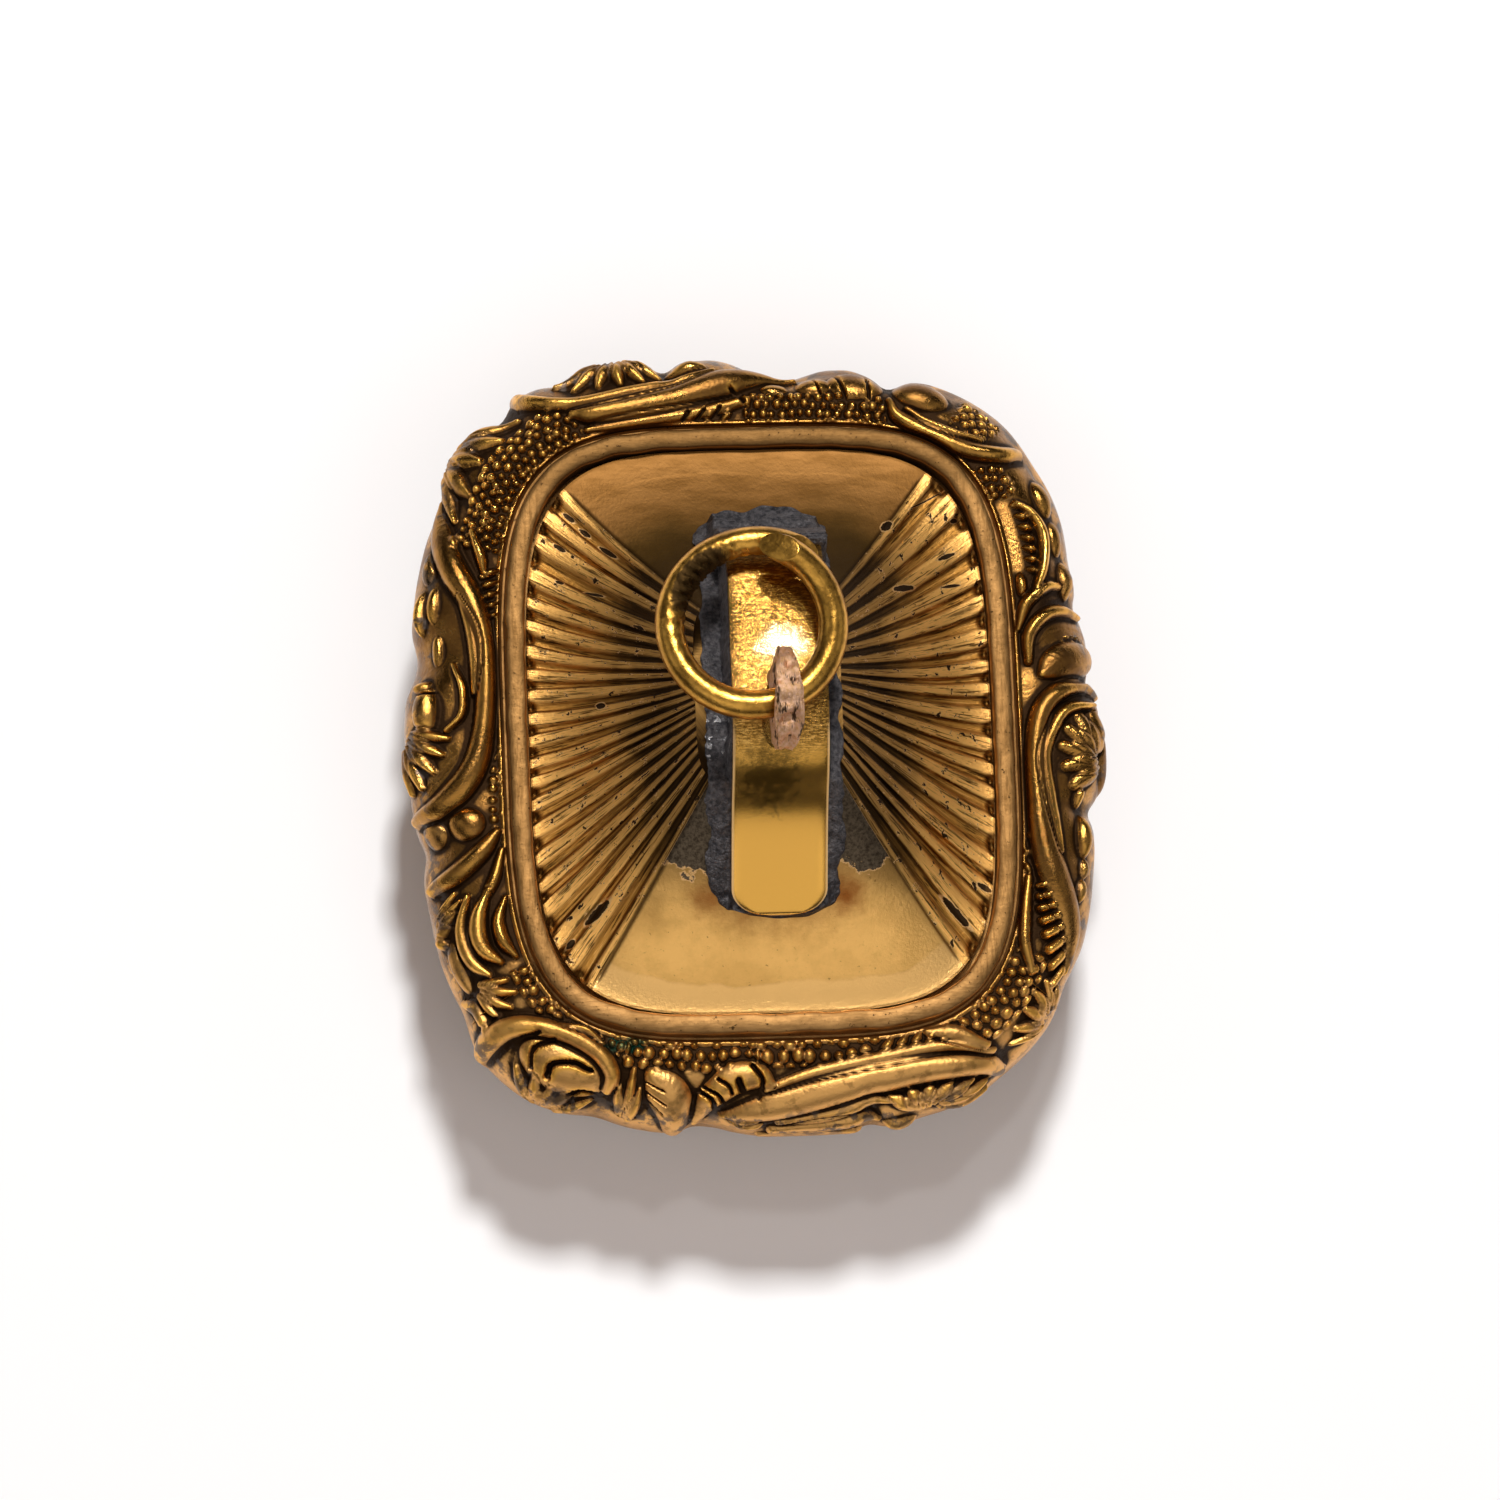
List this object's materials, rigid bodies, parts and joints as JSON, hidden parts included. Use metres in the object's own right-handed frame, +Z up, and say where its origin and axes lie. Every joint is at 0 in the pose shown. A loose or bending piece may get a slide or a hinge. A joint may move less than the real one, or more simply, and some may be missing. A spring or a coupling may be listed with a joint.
{
  "type": "fob seal",
  "caption": "Cushion-shaped fob seal with a chased scrollwork border, a fluted cap, a soldered strap with an upright eye and a jump ring that swings in it.",
  "frame": {"origin": "middle of the seal stone's flat face, on the surface that the seal rests on", "axes": "+Z up from the stone through the cap to the eye; +Y along the seal's longer side, the strap's line; +X across it"},
  "size_m": [0.0254, 0.0286, 0.0176],
  "materials": {
    "chased_gold": "worn gilt with brown tarnish in the hollows",
    "cap_gold": "satin gilt with brown tarnish in the flutes",
    "strap_gold": "bright brushed yellow gold",
    "ring_gold": "polished yellow gold wire",
    "stone": "polished plain carnelian"
  },
  "bodies": {
    "body": {"border": "chased_gold", "top_plate": "cap_gold", "hanger": "strap_gold", "seal_stone": "stone"},
    "ring": {"jump_ring": "ring_gold"}
  },
  "joints": [
    {"name": "ring_swing", "type": "hinge", "parent": "body", "child": "ring", "pos_m": [0.00025, -0.0006, 0.01545], "axis": [1, 0, 0], "range_deg": [0, 186]}
  ]
}
